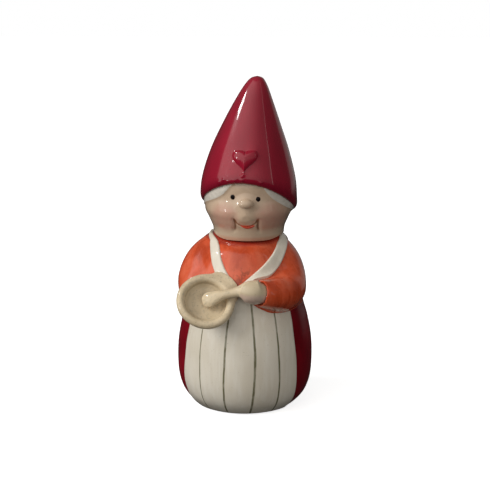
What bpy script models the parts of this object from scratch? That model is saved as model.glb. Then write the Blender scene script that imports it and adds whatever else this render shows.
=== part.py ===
"""Tomte grandmother figurine in glazed ceramic: hollow turned body, head and hat, with modelled arms,
hands, apron, dish and spoon luted on. Metres, +Z up, she faces -Y, and her left hand is on +X.
The origin is the middle of the base. The body was turned on an axis a little behind it."""

import math

import bmesh
import bpy
from mathutils import Vector

MM = 0.001

# Driving dimensions, in millimetres.
TOTAL_HEIGHT = 150.0
AXIS_Y = 4.8           # the turning axis stands this far behind the origin, because the dish reaches forward
HEAD_SHIFT = 1.7       # the head sits this far towards her left of the body's axis
WALL = 3.4             # cast wall of skirt and blouse
GAP = 0.3              # clearance between luted pieces
SKIN = 1.0             # thickness of apron, straps and tie
SKIRT_TOP = 48.0
COLLAR = 79.4
FOOT_RADIUS = 20.2
FOOT_RING_INSIDE = 16.0
FOOT_RECESS = 2.0
BASE_THICKNESS = 3.5
VENT_RADIUS = 6.0
NECK_RADIUS = 11.0
CROWN_VENT = 4.0
APRON_TOP = 52.0
HAT_LEAN_START = 100.0
HAT_LEAN = 0.0015      # sideways shift per square millimetre above HAT_LEAN_START
TURNED_STEPS = 36

# Outer line of the turned body from foot to collar, as (radius, height).
BODY_POINTS = [(FOOT_RADIUS, 0), (23.6, 1.8), (27.8, 6.6), (30.1, 13), (30.8, 21), (30.4, 31), (28.6, 41), (26.7, 48),
               (26.2, 54), (25.3, 61), (23.2, 68), (20.2, 74), (17.2, 78), (14.4, COLLAR)]
# Outer line of the head from neck to crown, and of the hat from edge to tip.
HEAD_POINTS = [(15.9, 79.9), (16.3, 83), (18.0, 87), (19.7, 91), (19.3, 96), (18.9, 102), (17.6, 107),
               (13.6, 112), (CROWN_VENT, 115)]
HAT_POINTS = [(21.9, 86), (21.9, 95), (21.0, 105), (17.4, 118), (12.2, 130.6), (7.1, 141.4), (3.6, 147.4),
              (0.0, TOTAL_HEIGHT)]
HAT_LINING_POINTS = [(20.2, 85), (20.2, 91), (19.7, 98), (19.4, 103), (17.9, 109), (14.4, 118), (8.6, 131),
                     (3.6, 141), (0.0, 144)]
# Heights of the hat's edge and of the hairline, over depth from the head's axis.
HAT_EDGE = (93.1, -0.39, 0.0074)
HAIRLINE = [(-16.6, 100.2), (-13.8, 97.6), (-9.7, 95.0), (-5.0, 93.0), (0.0, 91.5),
            (10.0, 88.6), (22.0, 86.6)]

# The nose, a ball of clay, from the head's axis.
NOSE_PLACE = (0.9, -19.6, 95.7)
NOSE_RADII = (3.2, 3.4, 2.1)

# The dish, round its own axis, and the spoon's route from the bowl of the spoon into her hand.
DISH_CENTRE = (-14.2, -33.4, 55.6)
DISH_FACING = (0.188, -0.808, 0.559)
DISH_LIP = 1.4
DISH_RADIUS = 12.65
DISH_DEPTH = 3.9
DISH_HEIGHT = 6.0
DISH_FOOT = 7.0
SPOON_ROUTE = [(-13.4, -31.4, 55.1), (-9.4, -31.6, 56.8), (-5.4, -32.0, 58.0), (-1.0, -32.2, 58.8),
               (4.0, -32.0, 59.2), (8.0, -31.6, 59.2)]
SPOON_RADIUS = 1.25
SPOON_BLADE = (4.2, 3.0, 1.3)

# Arms as stations along their middle line: x, y, z and radius.
LEFT_SLEEVE = [(12.5, -1.0, 73.0, 3.5), (16.0, -3.0, 69.5, 7.0), (19.0, -6.5, 63.5, 8.4), (19.8, -12.0, 58.0, 8.5),
               (18.6, -18.5, 56.0, 8.0), (15.6, -24.6, 56.4, 7.0), (11.4, -29.2, 57.8, 5.9)]
LEFT_HAND = [(6.6, -32.0, 58.6, 4.7), (3.6, -32.2, 58.8, 3.7), (0.8, -32.2, 58.9, 2.4)]
RIGHT_SLEEVE = [(-12.5, -1.0, 73.0, 3.5), (-16.4, -3.0, 69.5, 7.4), (-19.8, -5.5, 63.5, 8.6),
                (-20.8, -10.0, 57.0, 8.4), (-20.2, -15.5, 53.2, 7.4), (-18.4, -20.6, 52.0, 6.3)]
RIGHT_HAND = [(-17.0, -24.6, 51.6, 5.0), (-15.0, -28.0, 53.0, 3.6)]
WRIST_RADIUS = 5.3

# Outlines in her front view, as x and z.
LEFT_STRAP = [(15.5, 82), (14.1, 74.8), (11.5, 72), (6.8, 68.6), (3.6, 64.7), (0.2, 60.6), (0.2, 52.5),
              (6.5, 52.5), (8.5, 59), (10.4, 62.3), (13.0, 64.9), (16.1, 68), (18.7, 72.1), (19.5, 76), (18.5, 82)]
RIGHT_STRAP = [(-11.6, 82), (-11.6, 79.2), (-10.3, 75.4), (-8.4, 70.5), (-5.8, 66.4), (-3.4, 63.4), (-0.4, 59.8),
               (-0.4, 52.5), (-6.5, 52.5), (-9.5, 59), (-11.5, 65.4), (-12.6, 68.5), (-14.0, 73.1), (-15.9, 77.2),
               (-17.2, 78.6), (-17.6, 82)]
APRON_OUTLINE = [(-22.0, APRON_TOP), (-23.5, 40), (-25.4, 27), (-25.9, 17), (-25.0, 9), (-22.6, 4), (-19.0, 0.8),
                 (18.8, 0.8), (22.0, 4), (24.3, 8), (25.0, 17), (24.8, 27), (23.2, 38), (21.2, 47), (20.8, APRON_TOP)]


# ---------------------------------------------------------------- helpers

def clear_scene():
    for old in list(bpy.data.objects):
        bpy.data.objects.remove(old, do_unlink=True)


def glaze(name, colour, roughness=0.12):
    """A fired glaze of one colour, given as linear RGB."""
    made = bpy.data.materials.new(name)
    made.use_nodes = True
    shader = made.node_tree.nodes["Principled BSDF"]
    shader.inputs["Base Color"].default_value = (*colour, 1.0)
    shader.inputs["Roughness"].default_value = roughness
    shader.inputs["Metallic"].default_value = 0.0
    shader.inputs["Coat Weight"].default_value = 0.6
    return made


def smooth_line(points, steps):
    """A smooth curve through the points (Catmull-Rom), with this many steps from each to the next."""
    ends = [points[0], *points, points[-1]]
    line = []
    for before, start, end, after in zip(ends, ends[1:], ends[2:], ends[3:]):
        for step in range(steps):
            t = step / steps
            line.append(tuple(
                0.5 * (2 * b + (c - a) * t + (2 * a - 5 * b + 4 * c - d) * t ** 2 + (3 * b - a - 3 * c + d) * t ** 3)
                for a, b, c, d in zip(before, start, end, after)))
    line.append(tuple(points[-1]))
    return line


def offset_line(line, distance):
    """The line moved sideways, to the right of its own direction, by the distance."""
    moved = []
    for i, (r, z) in enumerate(line):
        before, after = line[max(i - 1, 0)], line[min(i + 1, len(line) - 1)]
        along = Vector((after[0] - before[0], after[1] - before[1])).normalized()
        moved.append((r + along.y * distance, z - along.x * distance))
    return moved


def between(line, low, high):
    """The stretch of a rising line between two heights."""
    def at(height):
        for (r0, z0), (r1, z1) in zip(line, line[1:]):
            if z0 <= height <= z1 and z1 > z0:
                return (r0 + (r1 - r0) * (height - z0) / (z1 - z0), height)
        return line[0] if height < line[0][1] else line[-1]
    return [at(low), *[p for p in line if low + 0.2 < p[1] < high - 0.2], at(high)]


def place(obj, collection, parent):
    collection.objects.link(obj)
    obj.parent = parent
    return obj


def turned(name, section, collection, parent, material=None):
    """A closed section (radius, height), running down its outer side, turned about the parent's Z axis."""
    mesh = bpy.data.meshes.new(name)
    points = [(r * MM, 0.0, z * MM) for r, z in section]
    edges = [(i, i + 1) for i in range(len(points) - 1)]
    if section[0][0] > 0 or section[-1][0] > 0:
        edges.append((len(points) - 1, 0))
    mesh.from_pydata(points, edges, [])
    obj = place(bpy.data.objects.new(name, mesh), collection, parent)
    spin = obj.modifiers.new("turning", "SCREW")
    spin.steps = spin.render_steps = TURNED_STEPS
    spin.use_merge_vertices = True
    spin.merge_threshold = 0.00001
    if material:
        mesh.materials.append(material)
    return obj


def solid_mesh(obj, collection, parent):
    """The evaluated curve or modifier stack as a plain welded mesh object with the same name."""
    name, world = obj.name, obj.matrix_world.copy()
    bpy.context.view_layer.update()
    graph = bpy.context.evaluated_depsgraph_get()
    mesh = bpy.data.meshes.new_from_object(obj.evaluated_get(graph))
    materials = [slot.material for slot in obj.material_slots]
    work = bmesh.new()
    work.from_mesh(mesh)
    bmesh.ops.remove_doubles(work, verts=work.verts, dist=0.000002)
    bmesh.ops.recalc_face_normals(work, faces=work.faces)
    work.to_mesh(mesh)
    work.free()
    bpy.data.objects.remove(obj, do_unlink=True)
    mesh.name = name
    made = place(bpy.data.objects.new(name, mesh), collection, parent)
    made.matrix_local = world if parent is None else parent.matrix_world.inverted() @ world
    if materials and not mesh.materials:
        mesh.materials.append(materials[0])
    return made


def limb(name, stations, collection, parent, material=None):
    """A round limb of changing thickness along stations of (x, y, z, radius), with flat ends."""
    curve = bpy.data.curves.new(name, "CURVE")
    curve.dimensions = "3D"
    curve.bevel_depth = MM
    curve.bevel_resolution = 5
    curve.use_fill_caps = True
    line = smooth_line(stations, 3)
    spline = curve.splines.new("POLY")
    spline.points.add(len(line) - 1)
    for point, (x, y, z, radius) in zip(spline.points, line):
        point.co = (x * MM, y * MM, z * MM, 1.0)
        point.radius = radius
    if material:
        curve.materials.append(material)
    obj = place(bpy.data.objects.new(name, curve), collection, parent)
    bpy.context.view_layer.update()
    return solid_mesh(obj, collection, parent)


def slab(name, outline, low, high, along, collection, parent):
    """A flat outline given a thickness from low to high along Y (outline in x, z) or X (outline in y, z)."""
    curve = bpy.data.curves.new(name, "CURVE")
    curve.dimensions = "2D"
    curve.fill_mode = "BOTH"
    curve.extrude = (high - low) / 2 * MM
    spline = curve.splines.new("POLY")
    spline.points.add(len(outline) - 1)
    for point, (across, height) in zip(spline.points, outline):
        point.co = (across * MM, height * MM, 0.0, 1.0)
    spline.use_cyclic_u = True
    obj = place(bpy.data.objects.new(name, curve), collection, parent)
    middle = (low + high) / 2 * MM
    if along == "Y":
        obj.rotation_euler = (math.pi / 2, 0, 0)
        obj.location = (0, middle, 0)
    else:
        obj.rotation_euler = (math.pi / 2, 0, math.pi / 2)
        obj.location = (middle, 0, 0)
    bpy.context.view_layer.update()
    return solid_mesh(obj, collection, parent)


def cutter(obj):
    obj.hide_render = True
    obj.display_type = "WIRE"
    return obj


def join(obj, tool, operation):
    """A Boolean of obj with tool: DIFFERENCE, INTERSECT or UNION."""
    step = obj.modifiers.new(operation.lower() + " " + tool.name, "BOOLEAN")
    step.operation = operation
    step.object = tool
    return obj


def shade(obj, angle=50):
    if obj.type == "MESH":
        obj.data.shade_smooth()
        obj.data.set_sharp_from_angle(angle=math.radians(angle))


# ---------------------------------------------------------------- scene, materials and axes

clear_scene()
figure = bpy.data.collections.new("tomte_gnome_figurine")
tools = bpy.data.collections.new("cutters")
bpy.context.scene.collection.children.link(figure)
bpy.context.scene.collection.children.link(tools)

HAT_RED = glaze("hat_glaze", (0.26, 0.012, 0.03), 0.06)
SKIRT_RED = glaze("skirt_glaze", (0.11, 0.004, 0.014))
BLOUSE_ORANGE = glaze("blouse_glaze", (0.62, 0.075, 0.025))
APRON_WHITE = glaze("apron_glaze", (0.68, 0.62, 0.52), 0.2)
SKIN_TONE = glaze("skin_glaze", (0.52, 0.38, 0.27))
HAIR_WHITE = glaze("hair_glaze", (0.62, 0.61, 0.54))
DISH_CREAM = glaze("dish_glaze", (0.55, 0.44, 0.27), 0.16)

turning_axis = place(bpy.data.objects.new("turning_axis", None), figure, None)
turning_axis.location = (0, AXIS_Y * MM, 0)
head_axis = place(bpy.data.objects.new("head_axis", None), figure, turning_axis)
head_axis.location = (HEAD_SHIFT * MM, 0, 0)
bpy.context.view_layer.update()

body_line = smooth_line(BODY_POINTS, 2)
body_lining = offset_line(smooth_line(BODY_POINTS, 1), -WALL)


# ---------------------------------------------------------------- turned body

def skirt_shell():
    """Hollow skirt on a foot ring, with a vent through the recessed base and an open mouth at the waist."""
    outside = between(body_line, 0, SKIRT_TOP)
    inside = between(body_lining, FOOT_RECESS + BASE_THICKNESS, SKIRT_TOP)
    floor = FOOT_RECESS + BASE_THICKNESS
    section = outside[::-1]
    section += [(FOOT_RING_INSIDE, 0), (FOOT_RING_INSIDE - 0.8, FOOT_RECESS), (VENT_RADIUS, FOOT_RECESS)]
    section += [(VENT_RADIUS, floor), (inside[0][0] - 1.5, floor), (inside[0][0], floor + 1.2)]
    section += inside[1:]
    return turned("skirt_shell", section, figure, turning_axis, SKIRT_RED)


def blouse_shell():
    """Hollow blouse with a spigot that sits in the skirt's mouth and a collar that takes the head's neck."""
    bottom = SKIRT_TOP + GAP
    spigot_out = between(body_lining, SKIRT_TOP - 6, SKIRT_TOP)[-1][0] - GAP
    spigot_in = spigot_out - 2.2
    outside = between(body_line, bottom, COLLAR)
    inside = between(body_lining, bottom + 4, COLLAR - 6)
    section = outside[::-1]
    section += [(spigot_out, bottom), (spigot_out, bottom - 5), (spigot_in, bottom - 5), (spigot_in, bottom + 1)]
    pilot = NECK_RADIUS - HEAD_SHIFT - 1
    section += [*inside, (pilot, COLLAR - 3.5), (pilot, COLLAR)]
    blouse = turned("blouse_shell", section, figure, turning_axis, BLOUSE_ORANGE)
    wide = NECK_RADIUS + GAP
    socket = turned("neck_socket", [(0, COLLAR + 3), (wide, COLLAR + 3), (wide, COLLAR - 8), (0, COLLAR - 8)],
                    tools, head_axis)
    return join(blouse, cutter(socket), "DIFFERENCE")


def body_skin(name, inner, outer, low, high, collection=figure, material=None):
    """A turned skin over the body, between two offsets from its outer line and two heights."""
    outside = between(offset_line(body_line, outer), low, high)
    inside = between(offset_line(body_line, inner), low, high)
    return turned(name, outside[::-1] + inside, collection, turning_axis, material)


def body_clearance(name, offset, low, high):
    """A solid turned cutter that fills the body out to an offset."""
    outside = between(offset_line(body_line, offset), low, high)
    return cutter(turned(name, [(0, high), *outside[::-1], (0, low)], tools, turning_axis))


# ---------------------------------------------------------------- apron, straps and tie

def apron():
    panel = body_skin("apron", GAP, GAP + SKIN, 0.8, APRON_TOP, material=APRON_WHITE)
    outline = cutter(slab("apron_outline", APRON_OUTLINE, -45, 0, "Y", tools, turning_axis))
    return join(panel, outline, "INTERSECT")


def strap(name, outline):
    """A strap from the apron over the shoulder, beside the neck, and down her back to the tie."""
    band = body_skin(name, GAP, GAP + SKIN, APRON_TOP + GAP, COLLAR - 0.4, material=APRON_WHITE)
    shape = cutter(slab(name + "_outline", outline, -45, 45, "Y", tools, turning_axis))
    return join(band, shape, "INTERSECT")


def apron_tie():
    """The band that draws the apron and the straps together round her back, from elbow to elbow."""
    band = body_skin("apron_tie", GAP, GAP + SKIN, 48.6, APRON_TOP, material=APRON_WHITE)
    back = cutter(slab("tie_outline", [(-40, 40), (40, 40), (40, 60), (-40, 60)], 4.5, 45, "Y", tools, turning_axis))
    return join(band, back, "INTERSECT")


# ---------------------------------------------------------------- head, hair and hat

def head_shell():
    """Hollow head: a neck spigot that drops into the collar, round cheeks, and a vented crown inside the hat."""
    outside = smooth_line(HEAD_POINTS, 2)
    inside = offset_line(smooth_line(HEAD_POINTS, 1), -3.0)
    inside = [p for p in inside if p[0] > CROWN_VENT and 84 < p[1]]
    section = outside[::-1]
    section += [(NECK_RADIUS, HEAD_POINTS[0][1] - 0.2), (NECK_RADIUS, COLLAR - 6), (NECK_RADIUS - 2.4, COLLAR - 6)]
    section += [(NECK_RADIUS - 2.4, 81)]
    section += inside
    section += [(CROWN_VENT, inside[-1][1])]
    return turned("head_shell", section, figure, head_axis, SKIN_TONE)


def head_clearance():
    outside = offset_line(smooth_line(HEAD_POINTS, 2), GAP)
    return cutter(turned("head_clearance", [(0, outside[-1][1]), *outside[::-1], (0, outside[0][1])],
                         tools, head_axis))


def nose(clearance):
    """A pressed ball of clay in the middle of the face."""
    work = bmesh.new()
    bmesh.ops.create_uvsphere(work, u_segments=20, v_segments=12, radius=1.0)
    bmesh.ops.scale(work, verts=work.verts, vec=[c * MM for c in NOSE_RADII])
    mesh = bpy.data.meshes.new("nose")
    work.to_mesh(mesh)
    work.free()
    mesh.materials.append(SKIN_TONE)
    ball = place(bpy.data.objects.new("nose", mesh), figure, head_axis)
    ball.location = [c * MM for c in NOSE_PLACE]
    return join(ball, clearance, "DIFFERENCE")


def hat_edge(depth):
    """Height of the hat's lower edge at a depth from the head's axis: high over the brow, low at the nape."""
    side, slope, bow = HAT_EDGE
    return side + slope * depth + bow * depth ** 2


def hair():
    """A roll of hair that shows under the hat's edge from one temple round the nape to the other."""
    head_line = smooth_line(HEAD_POINTS, 2)
    outside = between(offset_line(head_line, GAP + SKIN), 84, 106)
    inside = between(offset_line(head_line, GAP), 84, 106)
    roll = turned("hair", outside[::-1] + inside, figure, head_axis, HAIR_WHITE)
    under_hat = [(depth, hat_edge(depth) - GAP) for depth in range(22, -20, -4)]
    shape = slab("hair_outline", HAIRLINE + under_hat, -30, 30, "X", tools, head_axis)
    return join(roll, cutter(shape), "INTERSECT")


def hat_shell():
    """Tall cone hat, open below, that seats over the crown. Its tip leans towards her left."""
    outside = smooth_line(HAT_POINTS, 2)
    inside = smooth_line(HAT_LINING_POINTS, 1)
    hat = turned("hat_shell", outside[::-1] + inside, figure, head_axis, HAT_RED)
    edge = [(depth, hat_edge(depth)) for depth in range(26, -28, -2)]
    below = [(-30, 70), (30, 70)]
    shape = slab("hat_edge_cutter", edge + below, -30, 30, "X", tools, head_axis)
    join(hat, cutter(shape), "DIFFERENCE")
    hat = solid_mesh(hat, figure, head_axis)
    lean(hat)
    return hat


def lean(obj):
    for vertex in obj.data.vertices:
        above = max(vertex.co.z / MM - HAT_LEAN_START, 0.0)
        vertex.co.x += HAT_LEAN * above ** 2 * MM


def hat_heart():
    """A raised heart on the hat's front: two lobes and a point, as thick as the glaze lets show."""
    middle, half_width, lobe = 115.2, 6.0, 3.0
    outline = []
    for step in range(28):
        t = 2 * math.pi * step / 28
        across = half_width * math.sin(t) ** 3
        height = (13 * math.cos(t) - 5 * math.cos(2 * t) - 2 * math.cos(3 * t) - math.cos(4 * t)) / 16 * 5.4
        outline.append((across - 0.6, middle + height))
    hat_line = smooth_line(HAT_POINTS, 2)
    skin = between(offset_line(hat_line, GAP + SKIN), 104, 126)[::-1] + between(offset_line(hat_line, GAP), 104, 126)
    heart = turned("hat_heart", skin, figure, head_axis, HAT_RED)
    shape = cutter(slab("heart_outline", outline, -45, 0, "Y", tools, head_axis))
    join(heart, shape, "INTERSECT")
    heart = solid_mesh(heart, figure, head_axis)
    lean(heart)
    return heart


# ---------------------------------------------------------------- dish, spoon and arms

def dish_section(grow=0.0):
    """Half section of the dish about its own axis, from the middle of its floor over the lip to its foot."""
    rim_middle = DISH_RADIUS - DISH_LIP
    lip = DISH_LIP + grow
    over = [(rim_middle + lip * math.cos(a), -DISH_LIP + lip * math.sin(a))
            for a in [math.radians(165 - 30 * i) for i in range(7)]]
    floor = [(0.0, -DISH_DEPTH), (5.5, -DISH_DEPTH), (8.4, -DISH_DEPTH + 0.8)]
    wall = [(DISH_FOOT + 3.2 + grow, -DISH_HEIGHT + 1.6 - grow), (DISH_FOOT + grow, -DISH_HEIGHT - grow)]
    return floor, over, wall


def dish(name="dish", grow=0.0, filled=False, collection=figure, material=None):
    floor, over, wall = dish_section(grow)
    top = [(0.0, grow), (DISH_RADIUS - DISH_LIP, grow)] + over[3:] if filled else floor + over
    section = top + wall + [(0.0, -DISH_HEIGHT - grow)]
    obj = turned(name, section, collection, turning_axis, material)
    obj.location = [c * MM for c in DISH_CENTRE]
    obj.rotation_euler = Vector(DISH_FACING).to_track_quat("Z", "Y").to_euler()
    return obj


def spoon(name="spoon", grow=0.0, collection=figure, material=None):
    """A wooden-spoon shape: a shallow oval bowl and a round handle that runs into her left hand."""
    route = [(x, y, z, SPOON_RADIUS + grow) for x, y, z in SPOON_ROUTE]
    handle = limb(name, route, collection, turning_axis, material)
    work = bmesh.new()
    bmesh.ops.create_uvsphere(work, u_segments=20, v_segments=12, radius=1.0)
    bmesh.ops.scale(work, verts=work.verts, vec=[(size + grow) * MM for size in SPOON_BLADE])
    mesh = bpy.data.meshes.new(name + "_blade")
    work.to_mesh(mesh)
    work.free()
    blade = place(bpy.data.objects.new(name + "_blade", mesh), tools, turning_axis)
    blade.location = [c * MM for c in SPOON_ROUTE[0]]
    blade.rotation_euler = Vector(DISH_FACING).to_track_quat("Z", "Y").to_euler()
    join(handle, cutter(blade), "UNION")
    return handle


def from_cuff(sleeve, hand):
    """The hand's stations, started just past the sleeve's end and square to it."""
    before, cuff = (Vector(point[:3]) for point in smooth_line(sleeve, 3)[-2:])
    along = (cuff - before).normalized()
    return [(*(cuff + along * reach), WRIST_RADIUS) for reach in (2 * GAP, 2.8)] + hand


def arms_and_dish():
    skin_clearance = body_clearance("blouse_clearance", GAP, 30, COLLAR)
    dressed_clearance = body_clearance("dressed_clearance", 2 * GAP + SKIN, 30, COLLAR)
    front_outline = [(-23, 30), (23, 30), (23, 54), (20.5, 58), (20.5, 90), (-20.5, 90), (-20.5, 58), (-23, 54)]
    front_box = slab("front_box", front_outline, -45, 14, "Y", tools, turning_axis)
    front_clearance = body_clearance("front_clearance", 2 * GAP + SKIN, 30, COLLAR)
    join(front_clearance, cutter(front_box), "INTERSECT")
    dish_clearance = cutter(dish("dish_clearance", GAP, True, tools))
    spoon_clearance = cutter(spoon("spoon_clearance", GAP, tools))
    the_dish = dish(material=DISH_CREAM)
    join(the_dish, dressed_clearance, "DIFFERENCE")
    join(the_dish, spoon_clearance, "DIFFERENCE")
    spoon(material=DISH_CREAM)
    for side, sleeve, hand in (("left", LEFT_SLEEVE, LEFT_HAND), ("right", RIGHT_SLEEVE, RIGHT_HAND)):
        sleeve_piece = limb("sleeve_" + side, sleeve, figure, turning_axis, BLOUSE_ORANGE)
        hand_piece = limb("hand_" + side, from_cuff(sleeve, hand), figure, turning_axis, SKIN_TONE)
        for piece in (sleeve_piece, hand_piece):
            join(piece, skin_clearance, "DIFFERENCE")
            join(piece, front_clearance, "DIFFERENCE")
            join(piece, spoon_clearance if side == "left" else dish_clearance, "DIFFERENCE")


skirt_shell()
blouse_shell()
apron()
strap("apron_strap_left", LEFT_STRAP)
strap("apron_strap_right", RIGHT_STRAP)
apron_tie()
head_shell()
nose(head_clearance())
hair()
hat_shell()
hat_heart()
arms_and_dish()
for part in figure.objects:
    shade(part)
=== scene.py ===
import math

import bpy
import numpy as np
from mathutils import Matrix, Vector
from mathutils.bvhtree import BVHTree


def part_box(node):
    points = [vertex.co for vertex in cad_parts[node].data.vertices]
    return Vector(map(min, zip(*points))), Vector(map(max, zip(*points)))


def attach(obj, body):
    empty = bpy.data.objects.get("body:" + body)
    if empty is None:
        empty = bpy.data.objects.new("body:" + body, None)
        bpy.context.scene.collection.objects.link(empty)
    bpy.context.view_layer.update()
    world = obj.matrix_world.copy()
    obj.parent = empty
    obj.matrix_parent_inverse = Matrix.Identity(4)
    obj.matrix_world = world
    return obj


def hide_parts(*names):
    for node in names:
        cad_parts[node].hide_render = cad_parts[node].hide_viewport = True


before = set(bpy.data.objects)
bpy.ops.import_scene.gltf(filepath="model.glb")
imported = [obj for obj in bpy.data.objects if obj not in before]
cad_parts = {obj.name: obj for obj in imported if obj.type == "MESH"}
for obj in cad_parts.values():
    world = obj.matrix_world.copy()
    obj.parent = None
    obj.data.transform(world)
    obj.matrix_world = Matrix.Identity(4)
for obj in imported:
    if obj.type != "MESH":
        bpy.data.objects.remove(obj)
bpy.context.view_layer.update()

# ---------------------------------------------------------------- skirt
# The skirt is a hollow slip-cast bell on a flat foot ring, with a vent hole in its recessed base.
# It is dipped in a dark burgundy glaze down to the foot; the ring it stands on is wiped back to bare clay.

MM = 0.001
skirt_low, skirt_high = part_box("skirt_shell")
AXIS_X = (skirt_low.x + skirt_high.x) / 2 / MM
AXIS_Y = (skirt_low.y + skirt_high.y) / 2 / MM
SKIRT_TOP = skirt_high.z / MM
WALL = 3.4
HAND_WAVE = 0.16        # how far the hand's unevenness lifts or lowers a surface
FOOT_RADIUS = 20.2
FOOT_RING_INSIDE = 16.0
FOOT_RECESS = 2.0
BASE_TOP = 5.5
VENT_RADIUS = 6.0
BODY_POINTS = [(FOOT_RADIUS, 0), (23.6, 1.8), (27.8, 6.6), (30.1, 13), (30.8, 21), (30.4, 31), (28.6, 41),
               (26.7, 48), (26.2, 54), (25.3, 61), (23.2, 68), (20.2, 74), (17.2, 78), (14.4, 79.4)]


def smooth_line(points, steps):
    """A smooth curve through the points, with this many steps from each to the next."""
    p = np.array([points[0], *points, points[-1]], float)
    t = np.linspace(0, 1, steps, endpoint=False)[:, None]
    line = []
    for a, b, c, d in zip(p, p[1:], p[2:], p[3:]):
        line.append(0.5 * (2 * b + (c - a) * t + (2 * a - 5 * b + 4 * c - d) * t ** 2
                           + (3 * b - a - 3 * c + d) * t ** 3))
    return np.vstack([*line, p[-1:]])


def evenly(line, count):
    """The same line with evenly spaced points."""
    line = np.array(line, float)
    run = np.concatenate([[0], np.cumsum(np.linalg.norm(np.diff(line, axis=0), axis=1))])
    at = np.linspace(0, run[-1], count)
    return np.stack([np.interp(at, run, line[:, k]) for k in range(line.shape[1])], -1)


def ease(value, low, high):
    """0 below low, 1 above high, and a soft step between."""
    t = np.clip((value - low) / (high - low), 0, 1)
    return t * t * (3 - 2 * t)


def unevenness(points):
    """Slow rise and fall, from -1 to 1, of a surface that was fettled and sponged by hand."""
    x, y, z = np.moveaxis(points, -1, 0)
    waves = np.sin(0.23 * x + 0.11 * z + 1.3) + np.sin(0.19 * y - 0.17 * z + 0.4)
    return (waves + np.sin(0.31 * x - 0.27 * y + 0.09 * z + 2.1)) / 3


def turned(section, around):
    """Rings of points round the axis, one for each (radius, height) of the section. Angle 0 is her front."""
    angle = np.linspace(-np.pi, np.pi, around, endpoint=False)
    radius, height = np.array(section, float).T[:, :, None]
    return np.stack([radius * np.sin(angle), -radius * np.cos(angle), height + 0 * angle], -1)


def closed(rings, loop=False):
    """Points and faces of a closed skin over rings of points. Unless the rings loop, both ends get a cap."""
    rows, around = rings.shape[:2]
    points = rings.reshape(-1, 3)
    i = np.arange(rows if loop else rows - 1)[:, None] * around
    j = np.arange(around)[None, :]
    following = (i + around) % (rows * around)
    beside = (j + 1) % around
    faces = np.stack([i + j, i + beside, following + beside, following + j], -1).reshape(-1, 4).tolist()
    if not loop:
        first, last, start = len(points), len(points) + 1, (rows - 1) * around
        points = np.vstack([points, rings[0].mean(0), rings[-1].mean(0)])
        faces += [[first, (k + 1) % around, k] for k in range(around)]
        faces += [[last, start + k, start + (k + 1) % around] for k in range(around)]
    corner = points[np.array([face[:3] for face in faces])]
    volume = np.einsum("ij,ij->", corner[:, 0], np.cross(corner[:, 1], corner[:, 2]))
    return points, faces if volume > 0 else [face[::-1] for face in faces]


def piece(name, shape, glaze, nodes=(), shift=0.0):
    """Puts a shape, in millimetres from the turning axis, into the frame as one finished piece."""
    points, faces = shape
    mesh = bpy.data.meshes.new(name)
    mesh.from_pydata(((points + (AXIS_X + shift, AXIS_Y, 0)) * MM).tolist(), [], faces)
    mesh.materials.append(glaze)
    mesh.shade_smooth()
    obj = bpy.data.objects.new(name, mesh)
    bpy.context.scene.collection.objects.link(obj)
    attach(obj, "root")
    if nodes:
        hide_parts(*nodes)
    return obj


UNDER_COAT_SHINE = 0.12


class Tone:
    """A number that changes over a glaze; Python's arithmetic on it adds the Math nodes."""

    def __init__(self, nodes, socket):
        self.nodes, self.socket = nodes, socket

    def math(self, operation, *values):
        made = self.nodes.add("ShaderNodeMath", {"operation": operation}, dict(enumerate(values)))
        return Tone(self.nodes, made.outputs[0])

    def __add__(self, other): return self.math("ADD", self, other)
    def __radd__(self, other): return self.math("ADD", other, self)
    def __sub__(self, other): return self.math("SUBTRACT", self, other)
    def __rsub__(self, other): return self.math("SUBTRACT", other, self)
    def __mul__(self, other): return self.math("MULTIPLY", self, other)
    def __rmul__(self, other): return self.math("MULTIPLY", other, self)
    def __truediv__(self, other): return self.math("DIVIDE", self, other)
    def __pow__(self, other): return self.math("POWER", self, other)
    def __abs__(self): return self.math("ABSOLUTE", self)

    def step(self, low, high):
        """0 where the tone is at low, 1 where it is at high, and a soft step between."""
        made = self.nodes.add("ShaderNodeMapRange", {"interpolation_type": "SMOOTHSTEP"},
                              {"Value": self, "From Min": low, "From Max": high})
        return Tone(self.nodes, made.outputs["Result"])


class Nodes:
    """A node tree, and the kinds of node that glazes and light are made from."""

    def __init__(self, tree):
        self.tree = tree

    def add(self, kind, settings=None, sockets=None):
        """A node of this kind, with its settings made first and then its sockets' values or links."""
        node = self.tree.nodes.new(kind)
        for key, value in (settings or {}).items():
            setattr(node, key, value)
        for key, value in (sockets or {}).items():
            value = value.socket if isinstance(value, Tone) else value
            if isinstance(value, bpy.types.NodeSocket):
                self.tree.links.new(value, node.inputs[key])
            else:
                node.inputs[key].default_value = value
        return node

    def axes(self, place):
        parts = self.add("ShaderNodeSeparateXYZ", {}, {0: place})
        return [Tone(self, out) for out in parts.outputs]

    def mix(self, share, first, second):
        """One colour going over to another; each is linear RGB or another mix."""
        made = self.add("ShaderNodeMix", {"data_type": "RGBA"}, {0: share})
        for place, colour in ((6, first), (7, second)):
            if isinstance(colour, bpy.types.NodeSocket):
                self.tree.links.new(colour, made.inputs[place])
            else:
                made.inputs[place].default_value = (*colour, 1.0)
        return made.outputs[2]


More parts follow.
